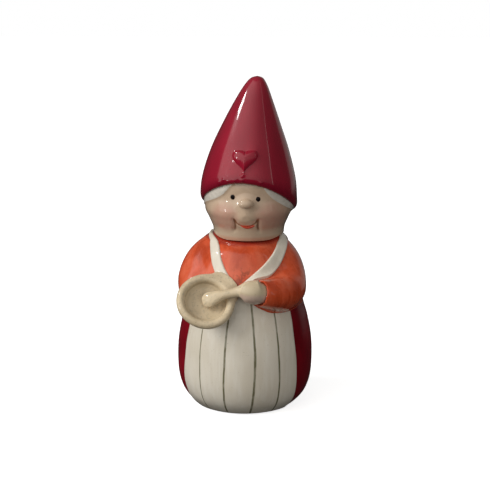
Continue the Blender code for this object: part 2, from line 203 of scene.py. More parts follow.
class Glaze(Nodes):
    """One fired glaze or paint: a Principled shader with a clear coat, and the nodes that vary it."""

    def __init__(self, name, roughness=0.25, coat=1.0, coat_roughness=0.03, shift=0.0):
        self.material = bpy.data.materials.new(name)
        self.material.use_nodes = True
        super().__init__(self.material.node_tree)
        self.shader = self.tree.nodes["Principled BSDF"]
        for socket, value in (("Roughness", roughness), ("Specular IOR Level", UNDER_COAT_SHINE),
                              ("Coat Weight", coat), ("Coat Roughness", coat_roughness)):
            self.shader.inputs[socket].default_value = value
        place = self.add("ShaderNodeTexCoord").outputs["Object"]
        scaled = self.add("ShaderNodeVectorMath", {"operation": "SCALE"}, {0: place, "Scale": 1 / MM})
        moved = self.add("ShaderNodeVectorMath", {"operation": "SUBTRACT"},
                         {0: scaled.outputs[0], 1: (AXIS_X + shift, AXIS_Y, 0)})
        self.place = moved.outputs[0]
        self.x, self.y, self.z = self.axes(self.place)

    def angle(self):
        """Degrees round the axis, from 0 at her front to 180 at her back, positive on her left."""
        return self.x.math("ARCTAN2", self.x, self.y * -1) * math.degrees(1)

    def noise(self, size, stretch=(1, 1, 1), detail=3.0, warp=0.0):
        """Cloudy variation from 0 to 1 with features of about this many millimetres."""
        spread = self.add("ShaderNodeVectorMath", {"operation": "DIVIDE"}, {0: self.place, 1: stretch})
        made = self.add("ShaderNodeTexNoise", {}, {"Vector": spread.outputs[0], "Scale": 1 / size,
                                                   "Detail": detail, "Roughness": 0.5, "Distortion": warp})
        return Tone(self, made.outputs["Fac"])

    def paint(self, colour, roughness=None):
        self.tree.links.new(colour, self.shader.inputs["Base Color"])
        if roughness is not None:
            self.tree.links.new(roughness.socket, self.shader.inputs["Roughness"])
        return self.material

    def relief(self, height, depth):
        """A fine relief this many millimetres deep where height goes from 0 to 1."""
        bump = self.add("ShaderNodeBump", {}, {"Height": height, "Distance": depth * MM})
        self.tree.links.new(bump.outputs[0], self.shader.inputs["Normal"])


def speckled(glaze, colour, dark, size, amount):
    """Fine iron specks that come through a fired glaze."""
    specks = glaze.noise(size, detail=1.0).step(0.70, 0.76) * amount
    return glaze.mix(specks, colour, dark)


SKIRT_COAT = 0.18


def burgundy():
    glaze = Glaze("skirt_glaze", roughness=0.3, coat=SKIRT_COAT)
    pooled = glaze.noise(14, (1, 1, 1.8)).step(0.3, 0.7)
    colour = glaze.mix(pooled, (0.24, 0.0045, 0.013), (0.13, 0.0018, 0.006))
    thin = glaze.z.step(4, 0.6) * 0.5
    colour = glaze.mix(thin, colour, (0.24, 0.035, 0.04))
    colour = speckled(glaze, colour, (0.03, 0.001, 0.004), 0.8, 0.5)
    bare = glaze.z.step(0.5, 0.15)
    colour = glaze.mix(bare, colour, (0.58, 0.50, 0.41))
    glaze.relief(glaze.noise(2.2, detail=2.0), 0.02)
    glaze.tree.links.new(((1 - bare) * SKIRT_COAT).socket, glaze.shader.inputs["Coat Weight"])
    return glaze.paint(colour, 0.26 + bare * 0.5 + glaze.noise(5) * 0.08)


BODY_LINE = smooth_line(BODY_POINTS, 12)


def radius_at(line, height):
    return np.interp(height, line[:, 1], line[:, 0])


def body_radius(height):
    return radius_at(BODY_LINE, height)


def on_turned(line, turn, height, rise):
    """The point of a turned skin at an angle (radians) and height, raised along its outward normal."""
    slope = np.interp(height, line[:, 1], np.gradient(line[:, 0], line[:, 1]))
    level = 1 / np.sqrt(1 + slope ** 2)
    radius = radius_at(line, height) + rise * level
    return np.stack([radius * np.sin(turn), -radius * np.cos(turn), height - rise * slope * level], -1)


def waved(points, amount):
    """The points moved in or out from the axis by the hand's unevenness, this many millimetres at most."""
    radius = np.maximum(np.hypot(points[..., 0], points[..., 1]), 0.01)[..., None]
    return points + (amount * unevenness(points))[..., None] * points * (1, 1, 0) / radius


def on_body(angle, height, rise):
    """The point at an angle (degrees) and height on the body, raised from its skin."""
    return waved(on_turned(BODY_LINE, np.radians(angle), height, rise), HAND_WAVE)


def body_lining(low, high, count):
    height = np.linspace(low, high, count)
    return np.stack([body_radius(height) - WALL, height], -1)


def settle_outside(rings, low):
    """Gives the outer side of turned rings, from this height up, the unevenness of the hand."""
    radius = np.hypot(rings[..., 0], rings[..., 1])
    outer = ease(radius - body_radius(rings[..., 2]), -1.2, -0.2) * ease(rings[..., 2], low, low + 3)
    return waved(rings, HAND_WAVE * outer)


skirt_side = BODY_LINE[(BODY_LINE[:, 1] > 0.4) & (BODY_LINE[:, 1] < SKIRT_TOP - 0.1)]
skirt_section = np.vstack([
    evenly([(body_radius(SKIRT_TOP), SKIRT_TOP), *skirt_side[::-1], (FOOT_RADIUS + 0.5, 0.25),
            (FOOT_RADIUS - 0.1, 0.0)], 90),
    evenly([(FOOT_RADIUS - 0.6, 0.0), (FOOT_RING_INSIDE + 0.5, 0.0), (FOOT_RING_INSIDE, 0.3),
            (FOOT_RING_INSIDE - 0.8, FOOT_RECESS),
            (VENT_RADIUS + 0.5, FOOT_RECESS), (VENT_RADIUS, FOOT_RECESS + 0.5), (VENT_RADIUS, BASE_TOP - 0.4),
            (VENT_RADIUS + 0.4, BASE_TOP), (body_radius(BASE_TOP) - WALL - 1.5, BASE_TOP)], 40),
    body_lining(BASE_TOP + 1.2, SKIRT_TOP, 30)])
skirt_shape = closed(settle_outside(turned(skirt_section, 240), 0), loop=True)
piece("skirt", skirt_shape, burgundy(), ["skirt_shell"])


# ---------------------------------------------------------------- apron
# The apron is a thin skin of clay pressed on the front of the skirt, its edges sponged round.
# It is brushed with a warm white glaze, and four olive-grey lines are drawn down it with a liner brush.

APRON_TOP = 57.0
APRON_RISE = 0.55
APRON_EDGE_ROLL = 1.1
# Its edges as (angle, height). The drawn lines as angles at the top, middle and foot, and half their width.
APRON_RIGHT_EDGE = [(-53.3, APRON_TOP), (-54.1, 39), (-54.8, 34), (-55.8, 26), (-58.2, 17), (-57.8, 9),
                    (-58, 0.7)]
APRON_LEFT_EDGE = [(52.8, APRON_TOP), (53.2, 47), (52.2, 35), (53.2, 25), (54, 14), (55.4, 7.5), (57, 0.7)]
STRIPES = [(-34.7, -35.4, -36.7, 0.32), (-10.4, -12.4, -14.2, 0.50), (11.3, 12.9, 9.8, 0.55),
           (33.1, 33.9, 35.2, 0.45)]
STRIPE_LENGTH = 48.0
MM_PER_DEGREE = 0.53


def band(first, second, place, rise, roll, columns, sunk=0.35, ends=(1.0, 1.0)):
    """A thin strip between two edge lines, laid with place(u, v, height). Its edges are rounded over roll
    millimetres, and its back is sunk into what it lies on. ends says how far each end is rounded."""
    share = (1 - np.cos(np.linspace(0, np.pi, columns))) / 2
    grid = first[:, None, :] * (1 - share)[None, :, None] + second[:, None, :] * share[None, :, None]
    level = place(grid[..., 0], grid[..., 1], 0.0)
    width = np.linalg.norm(level[:, -1] - level[:, 0], axis=-1)[:, None]
    along = np.concatenate([[0], np.cumsum(np.linalg.norm(np.diff(level.mean(1), axis=0), axis=-1))])[:, None]
    edge = np.minimum(share, 1 - share)[None, :] * width
    for reach, limit in zip((along, along[-1] - along), ends):
        if limit:
            edge = np.minimum(edge, reach / limit * roll)
    height = rise * np.sqrt(1 - (1 - np.clip(edge / roll, 0, 1)) ** 2) - 0.03
    top = place(grid[..., 0], grid[..., 1], height)
    back = place(grid[..., 0], grid[..., 1], -sunk + 0 * height)
    return closed(np.concatenate([top, back[:, ::-1]], axis=1))


def warm_white():
    glaze = Glaze("apron_glaze", roughness=0.3, coat=0.8, coat_roughness=0.05)
    cloud = glaze.noise(11, (1, 1, 2.2)).step(0.3, 0.75)
    colour = glaze.mix(cloud, (0.72, 0.665, 0.56), (0.64, 0.58, 0.47))
    brushed = glaze.noise(1.6, (1, 1, 14), detail=2.0).step(0.45, 0.72) * 0.25
    colour = glaze.mix(brushed, colour, (0.80, 0.77, 0.70))
    colour = speckled(glaze, colour, (0.35, 0.29, 0.2), 0.6, 0.35)
    turn = glaze.angle()
    drawn = None
    for top, middle, bottom, half in STRIPES:
        share = glaze.z / STRIPE_LENGTH
        bend = 2 * (top + bottom - 2 * middle)
        line = bottom + share * (4 * middle - 3 * bottom - top) + share * share * bend
        shaky = (glaze.noise(7, detail=1.0) - 0.5) * 0.9
        distance = abs(turn - line - shaky) * MM_PER_DEGREE
        thick = half * (0.72 + glaze.noise(9, detail=2.0) * 0.6)
        mark = 1 - (distance / thick).step(0.62, 1.12)
        drawn = mark if drawn is None else drawn + mark
    worn = 0.78 + 0.3 * glaze.noise(2.4, (1, 1, 2)).step(0.35, 0.6)
    below_edge = glaze.z.step(APRON_TOP - 0.2, APRON_TOP - 0.6)
    colour = glaze.mix(drawn * worn * below_edge, colour, (0.165, 0.150, 0.088))
    glaze.relief(glaze.noise(2.6, (1, 1, 3), detail=2.0), 0.03)
    return glaze.paint(colour, 0.25 + glaze.noise(6) * 0.12)


APRON_WHITE = warm_white()
right_edge, left_edge = (evenly(smooth_line(edge, 8), 140) for edge in (APRON_RIGHT_EDGE, APRON_LEFT_EDGE))
apron_shape = band(right_edge, left_edge, on_body, APRON_RISE, APRON_EDGE_ROLL, 110)
piece("apron_panel", apron_shape, APRON_WHITE, ["apron"])


# ---------------------------------------------------------------- blouse and sleeves
# The blouse is the hollow upper body, with a spigot in the skirt's mouth and a collar that takes the neck.
# Two modelled sleeves are luted to its shoulders, the joints are smoothed over with slip, and the whole is
# brushed with an orange-red glaze whose overlapping strokes stay visible after firing.

COLLAR = 79.4
NECK_RADIUS = 11.0
# The arms as stations along their middle line: x, y, z and radius.
LEFT_SLEEVE = [(12.5, -1.0, 73.0, 3.5), (16.0, -3.0, 69.5, 7.0), (19.0, -6.5, 63.5, 8.4),
               (19.8, -12.0, 58.0, 8.5), (18.6, -18.5, 56.0, 8.0), (15.2, -24.8, 56.6, 6.9),
               (9.2, -30.0, 58.2, 5.8)]
RIGHT_SLEEVE = [(-12.5, -1.0, 73.0, 3.5), (-16.4, -3.0, 69.5, 7.4), (-19.8, -5.5, 63.5, 8.6),
                (-20.8, -10.0, 57.0, 8.4), (-20.2, -15.5, 53.2, 7.4), (-18.4, -20.6, 52.0, 6.3)]
# The sleeve's end turned in, as (reach past the last station, share of its radius).
CUFF = [(0.35, 0.985), (0.6, 0.95), (0.7, 0.90), (0.4, 0.87), (-1.2, 0.86)]
# Hollows and rises pressed into the sleeves, as (x, y, z, size, height).
LEFT_DENTS = [(25.5, -14, 55.5, 4.5, 0.5), (16.5, -24, 62, 3.0, 0.35), (24.5, -9, 66, 5.0, -0.45),
              (20.5, -19.5, 63.0, 3.2, 0.4), (13.5, -31.5, 55.0, 3.0, 0.3), (17.5, -29.0, 58.0, 2.6, -0.3)]
RIGHT_DENTS = [(-27.5, -8, 59, 5.0, 0.5), (-24.5, -12, 65, 4.0, -0.4), (-20.5, -15, 63.5, 3.5, 0.35)]
CHIN_DROP = 1.5
SHOULDER_FILLET = 4.5
CLAY_GRAIN = 0.5
SPONGE_PASSES = 14


def lowered(points, low, high):
    """The head and the collar dip together in front, fully at the height low and not at all at high."""
    dip = ease(-points[..., 1], 3, 14) * ease(points[..., 2], high, low)
    return points - (CHIN_DROP * dip)[..., None] * (0, 0, 1)


def tree_of(shape):
    return BVHTree.FromPolygons(shape[0].tolist(), shape[1])


def gap_to(trees, points):
    """Signed distance in millimetres from each point to the nearest of the shapes, and the way out of it."""
    gap = np.full(len(points), 1e3)
    way = np.zeros((len(points), 3))
    for tree in trees:
        for i, p in enumerate(points):
            near, normal, _, far = tree.find_nearest(Vector(p))
            out = Vector(p) - near
            side = 1.0 if out.dot(normal) >= 0 else -1.0
            if side * far < gap[i]:
                gap[i] = side * far
                way[i] = out * (side / far) if far > 1e-3 else normal
    return gap, way


def joint(mine, theirs, reach, points):
    """The filleted joint of two sets of shapes as seen from points: the distance out of it, the way out, and
    how far each point belongs to the second set."""
    my_gap, my_way = gap_to(mine, points)
    their_gap, their_way = gap_to(theirs, points)
    share = np.clip(0.5 + 0.5 * (my_gap - their_gap) / reach, 0, 1)
    gap = my_gap * (1 - share) + their_gap * share - reach * share * (1 - share)
    way = my_way * (1 - share)[:, None] + their_way * share[:, None]
    return gap, way / np.maximum(np.linalg.norm(way, axis=1), 0.3)[:, None], share


def luted(shape, neighbours, reach, under=0.5):
    """The shape with its skin drawn up into the soft fillet that slip and glaze leave along its neighbours.
    Past the middle of the joint it passes under the neighbour's skin, and deep inside it stays as it was."""
    deep, shallow = -2.5, -1.0
    points, faces = shape
    own, others = [tree_of(shape)], [tree_of(neighbour) for neighbour in neighbours]
    start, _ = gap_to(others, points)
    near = np.where((start < reach) & (start > deep))[0]
    moved = points[near].copy()
    for _ in range(4):
        gap, way, share = joint(own, others, reach, moved)
        depth = gap + under * np.clip(2 * share - 1, 0, 1)
        moved -= np.clip(depth, -1, 1)[:, None] * way
    points = points.copy()
    points[near] += ease(start[near], deep, shallow)[:, None] * (moved - points[near])
    return points, faces


def tangents(middle):
    along = np.gradient(middle, axis=0)
    return along / np.linalg.norm(along, axis=1)[:, None]


def rings_round(middle, along, half_width, half_depth, facing, around):
    """Oval rings square to a line. Their half depth is measured towards facing."""
    side = np.cross(along, facing)
    side /= np.linalg.norm(side, axis=1)[:, None]
    up = np.cross(side, along)
    turn = np.linspace(0, 2 * np.pi, around, endpoint=False)
    return (middle[:, None, :] + (half_width[:, None] * np.cos(turn))[..., None] * side[:, None, :]
            + (half_depth[:, None] * np.sin(turn))[..., None] * up[:, None, :])


def limb(stations, around, rows, end=()):
    """Rings round a smooth middle line through stations of (x, y, z, radius). end is a list of (reach,
    share): further rings past the last station, at a reach along the line and a share of its radius."""
    line = evenly(smooth_line(stations, 16), rows)
    middle, radius = line[:, :3], line[:, 3]
    along = tangents(middle)
    extra = [(middle[-1] + along[-1] * reach, radius[-1] * share) for reach, share in end]
    middle = np.vstack([middle, *[point for point, _ in extra]])
    radius = np.concatenate([radius, [size for _, size in extra]])
    along = np.vstack([along, *[along[-1] for _ in extra]])
    return rings_round(middle, along, radius, radius, (0, 0, 1), around)


def blended(shape):
    """The shape as one even skin, sponged smooth."""
    mesh = bpy.data.meshes.new("clay")
    mesh.from_pydata(shape[0].tolist(), [], shape[1])
    clay = bpy.data.objects.new("clay", mesh)
    bpy.context.scene.collection.objects.link(clay)
    remesh = clay.modifiers.new("even", "REMESH")
    remesh.mode = "VOXEL"
    remesh.voxel_size = CLAY_GRAIN
    clay.modifiers.new("sponge", "SMOOTH").iterations = SPONGE_PASSES
    done = clay.evaluated_get(bpy.context.evaluated_depsgraph_get()).to_mesh()
    points = np.array([vertex.co[:] for vertex in done.vertices])
    faces = [list(face.vertices) for face in done.polygons]
    bpy.data.objects.remove(clay)
    bpy.data.meshes.remove(mesh)
    return points, faces


def dented(rings, dents):
    """A sleeve's rings with its shallow hollows and rises."""
    centre = rings.mean(1, keepdims=True)
    out = rings - centre
    out /= np.maximum(np.linalg.norm(out, axis=-1, keepdims=True), 0.01)
    for x, y, z, size, height in dents:
        far = np.linalg.norm(rings - (x, y, z), axis=-1)
        rings = rings + (height * np.exp(-(far / size) ** 2))[..., None] * out
    return rings


def orange_red():
    glaze = Glaze("blouse_glaze", roughness=0.28)
    slanted = glaze.noise(3.2, (1, 1, 4.2), detail=3.0, warp=0.5)
    wide = glaze.noise(9, (1, 1, 1.8), detail=2.0)
    stroke = slanted.step(0.36, 0.66)
    colour = glaze.mix(stroke, (0.53, 0.066, 0.018), (0.62, 0.090, 0.032))
    colour = glaze.mix(wide.step(0.45, 0.68) * 0.6, colour, (0.70, 0.150, 0.072))
    colour = glaze.mix(wide.step(0.45, 0.28) * 0.55, colour, (0.33, 0.034, 0.009))
    front = 1 - (abs(glaze.x + 1) / 4.5).step(0.4, 1.2)
    # Painted shade: the chest is darkened just below the chin, where the head shades it.
    chest_shade = front * glaze.z.step(80, 78) * glaze.z.step(64, 70) * (glaze.y * -1).step(5, 12)
    colour = glaze.mix(chest_shade * (0.35 + stroke * 0.35), colour, (0.34, 0.032, 0.008))
    under_v = (abs(glaze.x - 1.5) / 6).step(1.2, 0.2) * glaze.z.step(71, 64) * (glaze.y * -1).step(5, 12)
    blotch = glaze.noise(3.0, detail=3.0, warp=0.6).step(0.44, 0.58) * under_v
    colour = glaze.mix(blotch * 0.6, colour, (0.16, 0.028, 0.008))
    # Painted shade: a dark band along the top of the collar, in the crease under the chin.
    dipped = glaze.z + (glaze.y * -1).step(3, 14) * CHIN_DROP
    colour = glaze.mix(dipped.step(77.4, 78.6) * 0.75, colour, (0.27, 0.012, 0.008))
    fine = glaze.noise(0.8, (1, 1, 9), detail=2.0).step(0.5, 0.75) * 0.12
    colour = glaze.mix(fine, colour, (0.80, 0.22, 0.12))
    glaze.relief(slanted * 0.7 + glaze.noise(2.0, detail=2.0) * 0.3, 0.03)
    return glaze.paint(colour, 0.22 + slanted * 0.12)


BLOUSE_ORANGE = orange_red()
blouse_low = SKIRT_TOP + 0.05
blouse_side = BODY_LINE[(BODY_LINE[:, 1] > blouse_low + 0.1) & (BODY_LINE[:, 1] < COLLAR - 0.4)]
spigot = body_radius(SKIRT_TOP) - WALL - 0.3
blouse_section = np.vstack([
    evenly([(NECK_RADIUS + 0.2, COLLAR - 0.3), (14.0, COLLAR), *blouse_side[::-1],
            (body_radius(blouse_low), blouse_low)], 110),
    evenly([(spigot, blouse_low), (spigot, SKIRT_TOP - 4.7), (spigot - 2.2, SKIRT_TOP - 4.7)], 12),
    body_lining(SKIRT_TOP + 4.3, COLLAR - 6, 24),
    evenly([(NECK_RADIUS + 0.3, COLLAR - 4.5), (NECK_RADIUS + 0.2, COLLAR - 1.2)], 6)])
blouse_rings = settle_outside(turned(blouse_section, 240), SKIRT_TOP - 4)
blouse_plain = closed(lowered(blouse_rings, COLLAR - 0.8, COLLAR - 7), loop=True)
left_plain = blended(closed(dented(limb(LEFT_SLEEVE, 72, 96, CUFF), LEFT_DENTS)))
right_plain = blended(closed(dented(limb(RIGHT_SLEEVE, 72, 84, CUFF), RIGHT_DENTS)))
blouse_shape = luted(blouse_plain, [left_plain, right_plain], SHOULDER_FILLET)
left_shape = luted(left_plain, [blouse_plain], SHOULDER_FILLET)
right_shape = luted(right_plain, [blouse_plain], SHOULDER_FILLET)
piece("blouse", blouse_shape, BLOUSE_ORANGE, ["blouse_shell"])
piece("left_sleeve", left_shape, BLOUSE_ORANGE, ["sleeve_left"])
piece("right_sleeve", right_shape, BLOUSE_ORANGE, ["sleeve_right"])


# ---------------------------------------------------------------- apron straps and tie
# Two flat straps rise from the apron in a V, pass beside the neck and run down her back to the tie.
# They are strips of clay laid over the blouse and the roots of the sleeves, and brushed warm white.

STRAP_RISE = 0.75
STRAP_EDGE_ROLL = 0.9
BACK_END = 50.5
TIE_SIDE = 54.0
TIE_BACK = 50.8
TIE_HALF = 2.0
TIE_RISE = 0.85
# The straps' edges in her front view, as (x, height), and how high their outer edges pass over the shoulders.
LEFT_INNER = [(-0.8, 56.4), (0.2, 60.4), (4.9, 64.6), (9.5, 68.4), (12.9, 72), (14.9, 75.2), (15.7, 77.5)]
LEFT_OUTER = [(8.8, 56.4), (10.3, 59.6), (12.1, 62.3), (14.5, 64.9), (16.9, 68), (18.6, 72.1), (18.6, 76)]
RIGHT_INNER = [(0.4, 56.4), (-1.0, 59.8), (-4.2, 63.4), (-6.4, 66.4), (-8.5, 70.5), (-9.7, 74.6),
               (-10.8, 77.2), (-12.0, 78.9)]
RIGHT_OUTER = [(-7.7, 56.4), (-9.5, 60.5), (-11.7, 65.4), (-13.0, 68.5), (-14.1, 73.1), (-15.0, 76.2),
               (-15.4, 77.8)]
LEFT_OVER, RIGHT_OVER = 77.4, 78.8


def over_shoulder(line, side, top_height):
    """A strap's edge as (angle, height): up the front along its points, and the same down the back."""
    front = [(math.degrees(math.asin(min(1.0, abs(x) / body_radius(z)))) * (1 if x * side >= 0 else -1), z)
             for x, z in line]
    back = [(180 - angle, height) for angle, height in reversed(front)]
    back.append((back[-1][0], BACK_END))
    return evenly(smooth_line([*front, (90, top_height), *back], 12), 200) * (side, 1)


dressed = [tree_of(shape) for shape in (blouse_plain, left_plain, right_plain)]


def on_blouse(angle, height, rise):
    """A point over the blouse and the sleeves' roots, lifted by rise from whatever lies beneath it."""
    rise = rise + 0 * angle
    points = on_body(angle, height, 0.0)
    shape = points.shape
    points = points.reshape(-1, 3)
    for _ in range(8):
        gap, way, _ = joint(dressed[:1], dressed[1:], SHOULDER_FILLET, points)
        points = points - np.clip(gap - rise.ravel(), -2, 2)[:, None] * way
    return points.reshape(shape)


for name, side, inner, outer, outer_top in (("left", 1, LEFT_INNER, LEFT_OUTER, LEFT_OVER),
                                            ("right", -1, RIGHT_INNER, RIGHT_OUTER, RIGHT_OVER)):
    edges = over_shoulder(inner, side, COLLAR - 0.1), over_shoulder(outer, side, outer_top)
    strap_shape = band(*edges, on_blouse, STRAP_RISE, STRAP_EDGE_ROLL, 22, ends=(0, 0))
    piece(name + "_strap", strap_shape, APRON_WHITE, ["apron_strap_" + name])

tie_angles = np.linspace(66, 294, 170)
tie_middle = TIE_SIDE - (TIE_SIDE - TIE_BACK) * ease(abs(tie_angles - 180), 92, 55)
tie_low = np.stack([tie_angles, tie_middle - TIE_HALF + 0.25 * np.sin(np.radians(tie_angles * 3))], -1)
tie_high = np.stack([tie_angles, tie_middle + TIE_HALF + 0.25 * np.sin(np.radians(tie_angles * 2 + 40))], -1)
tie_shape = band(tie_high, tie_low, on_body, TIE_RISE, 1.0, 20)
piece("tie", tie_shape, APRON_WHITE, ["apron_tie"])


# ---------------------------------------------------------------- head and face
# The head is a hollow ball with a neck spigot and a vented crown. Cheeks, muzzle and chin are pushed up in
# the clay, the nose is a ball luted on, and the eyes and lips are painted in thick enamel on the skin glaze.

HEAD_SHIFT = 1.7
HEAD_POINTS = [(15.9, 79.9), (16.3, 83), (18.0, 87), (19.7, 91), (19.3, 96), (18.9, 102), (17.6, 107),
               (13.6, 112), (4.0, 115)]
HEAD_LINE = smooth_line(HEAD_POINTS, 12)
FACE_COLUMNS = 380
HEAD_WAVE = 0.10
# On the face, as (x, z, half width, half height), and the folds beside the mouth as (x, bend, z).
CHEEKS = ((-9.2, 89.8, 4.8, 5.0), (10.8, 90.0, 5.2, 5.2))
CHEEK_RISE = 0.85
MUZZLE = (0.3, 90.4, 4.7, 4.3)
MUZZLE_RISE = 1.05
MOUTH_DEPTH = 0.34
CHIN = (1.0, 82.6, 5.2, 2.1)
CHIN_RISE = 0.45
LOWER_LIP = (0.9, 85.3, 2.6, 1.1)
LOWER_LIP_RISE = 0.25
JOWLS = (0.0, 85.6, 13.0, 3.4)
JOWLS_RISE = 0.9
EYE_HOLLOW = (0.0, 98.6, 11.5, 2.6)
EYE_HOLLOW_DEPTH = 0.30
FOLDS = ((-4.5, -0.10, 85.9), (5.3, 0.10, 85.9))
FOLD_DEPTH = 0.50
FOLD_HALF = 0.85


def mound(x, z, centre_x, centre_z, half_width, half_height, power=2):
    """A soft mound of height 1. A higher power makes it flatter from side to side."""
    return np.exp(-((x - centre_x) / half_width) ** power - ((z - centre_z) / half_height) ** 2)


def face_relief(x, z):
    """Height in millimetres that the face stands proud of the plain turned head."""
    rise = CHEEK_RISE * sum(mound(x, z, *cheek) for cheek in CHEEKS) * ease(z, 97.0, 94.8)
    centre_x, centre_z, half_width, half_height = MUZZLE
    width = half_width * (1 - 0.12 * ease(z, 88.0, 95.0))
    tall = half_height * (1 + 0.55 * ease(z, centre_z - 1.0, centre_z + 2.0))
    away = np.sqrt(((x - centre_x) / width) ** 2 + ((z - centre_z) / tall) ** 2)
    rise = rise + MUZZLE_RISE * ease(away, 1.15, 0.5 - 0.65 * ease(z, centre_z - 2.5, centre_z + 1.5))
    rise = rise - MOUTH_DEPTH * np.exp(-((away - 1.16) / 0.085) ** 2) * ease(z, 90.2, 88.2)
    for fold_x, bend, fold_z in FOLDS:
        line = fold_x + bend * (z - fold_z) ** 2 * 0.5
        along = ease(z, 82.2, 84.0) * ease(z, 89.6, 87.8)
        rise = rise - FOLD_DEPTH * np.exp(-((x - line) / FOLD_HALF) ** 2) * along
    rise = rise + JOWLS_RISE * mound(x, z, *JOWLS, power=4) + CHIN_RISE * mound(x, z, *CHIN)
    rise = rise + LOWER_LIP_RISE * mound(x, z, *LOWER_LIP)
    return rise - EYE_HOLLOW_DEPTH * mound(x, z, *EYE_HOLLOW, power=4)


def on_head(angle, height, rise):
    """The point at an angle and height on the modelled head, raised outwards."""
    turn = np.radians(angle)
    radius = radius_at(HEAD_LINE, height)
    front = ease(np.cos(turn), 0.05, 0.35)
    radius = radius + rise + front * face_relief(radius * np.sin(turn), height)
    base = np.stack([radius * np.sin(turn), -radius * np.cos(turn), height + 0 * turn], -1)
    return waved(base, HEAD_WAVE)


def on_face(x, height, rise):
    """The point at a sideways place and height on the face, raised outwards."""
    return on_head(np.degrees(np.arcsin(x / radius_at(HEAD_LINE, height))), height, rise)


def beige_skin():
    glaze = Glaze("skin_glaze", roughness=0.25, shift=HEAD_SHIFT)
    cloud = glaze.noise(7).step(0.3, 0.7)
    colour = glaze.mix(cloud, (0.53, 0.395, 0.28), (0.47, 0.345, 0.24))
    front = (glaze.y * -1).step(2, 8)
    for x, z, wide, tall in CHEEKS:
        across_cheek, up_cheek = (glaze.x - x * 1.02) / (wide * 1.25), (glaze.z - (z - 0.8)) / (tall * 1.3)
        blush = (across_cheek * across_cheek + up_cheek * up_cheek).step(1.7, 0.1) * front
        patchy = 0.62 + 0.3 * glaze.noise(2.4).step(0.3, 0.7)
        colour = glaze.mix(blush * patchy, colour, (0.50, 0.275, 0.205))
    for x, bend, z in FOLDS:
        off = abs(glaze.x - x - (glaze.z - z) * (glaze.z - z) * (bend * 0.5))
        stroke = off.step(0.85, 0.15) * (glaze.z.step(82.6, 84.4) * glaze.z.step(89.6, 88.2)) * front
        colour = glaze.mix(stroke * 0.85, colour, (0.15, 0.065, 0.03))
    muzzle_x, muzzle_z, half_width, half_height = MUZZLE
    wide, tall = (glaze.x - muzzle_x) / half_width, (glaze.z - muzzle_z) / half_height
    rim = abs((wide * wide + tall * tall) - 1.36).step(0.30, 0.04) * glaze.z.step(89.4, 88.4) * front
    colour = glaze.mix(rim * 0.8, colour, (0.22, 0.08, 0.03))
    # Painted light: the chin is painted lighter, as if lit from below.
    colour = glaze.mix(glaze.z.step(84.6, 82.6) * 0.4, colour, (0.57, 0.47, 0.34))
    # Painted shade: a dark reddish band at the foot of the head, in the crease under the chin.
    colour = glaze.mix(glaze.z.step(80.9, 79.0) * 0.6, colour, (0.46, 0.20, 0.12))
    colour = speckled(glaze, colour, (0.25, 0.16, 0.10), 0.7, 0.35)
    glaze.relief(glaze.noise(2.4, detail=2.0), 0.02)
    return glaze.paint(colour, 0.2 + glaze.noise(5) * 0.1)


SKIN = beige_skin()
head_angles = np.linspace(-180, 180, FACE_COLUMNS, endpoint=False)
face = on_head(*np.meshgrid(head_angles, np.linspace(80.0, 113.9, 170)), 0.0)
crown = turned([(9.6, 113.9), (6.4, 114.6), (4.3, 114.9), (4.0, 114.6), (4.0, 111.6)], FACE_COLUMNS)
head_inside = evenly([(4.4, 111.4), (11.4, 109.2), (14.8, 105.4), (16.0, 101), (16.3, 96), (16.6, 91),
                      (15.2, 87.4), (11.5, 84.0), (NECK_RADIUS - 2.4, 81)], 30)
neck = evenly([(NECK_RADIUS - 2.4, 80), (NECK_RADIUS - 2.4, COLLAR - 6), (NECK_RADIUS, COLLAR - 6),
               (NECK_RADIUS, COLLAR - 0.1)], 14)
jaw = turned([(12.6, 79.45), (14.4, 79.5), (15.4, 79.65)], FACE_COLUMNS)
head_rings = np.concatenate([face, crown, turned(np.vstack([head_inside, neck]), FACE_COLUMNS), jaw])
head_plain = closed(lowered(head_rings, 80.2, 84.6), loop=True)

NOSE_PLACE = (0.45, -19.4, 95.7)
NOSE_RADII = (3.6, 2.9, 2.6)
NOSE_FILLET = 2.0


def ball(place, radii, rows, around):
    """Rings of a pressed ball of clay, a little flatter below than above."""
    tilt = np.linspace(0.02, np.pi - 0.02, rows)[:, None]
    turn = np.linspace(0, 2 * np.pi, around, endpoint=False)[None, :]
    points = np.stack([np.sin(tilt) * np.cos(turn), np.sin(tilt) * np.sin(turn), np.cos(tilt) + 0 * turn], -1)
    points[..., 2] *= 1 - 0.12 * ease(points[..., 2], 0.2, -0.8)
    return points * radii + place


nose_plain = closed(ball(NOSE_PLACE, NOSE_RADII, 40, 56))
nosed_head = luted(head_plain, [nose_plain], NOSE_FILLET)
nose_shape = luted(nose_plain, [head_plain], NOSE_FILLET)
piece("nose_ball", nose_shape, SKIN, ["nose"], HEAD_SHIFT)

EYES = ((-5.7, 98.5, 1.02, 1.15), (5.6, 97.7, 1.08, 1.10))
EYE_RISE = 0.28


def enamel_dot(x, z, half_width, half_height, rise):
    """A thick drop of enamel on the face: rings from its top to its edge, and a back sunk in the glaze."""
    turn = np.linspace(0, 2 * np.pi, 36, endpoint=False)[None, :]
    share = np.array([0.04, 0.25, 0.45, 0.62, 0.76, 0.87, 0.95, 1.0])[:, None]
    dome = rise * np.sqrt(np.maximum(1 - share ** 2, 0)) + 0.02
    share, height = np.vstack([share, share[::-1]]), np.vstack([dome, -0.25 + 0 * dome])
    across_dot = x + half_width * share * np.cos(turn)
    up_dot = z + half_height * share * np.sin(turn)
    return closed(on_face(across_dot, up_dot, height + 0 * across_dot))


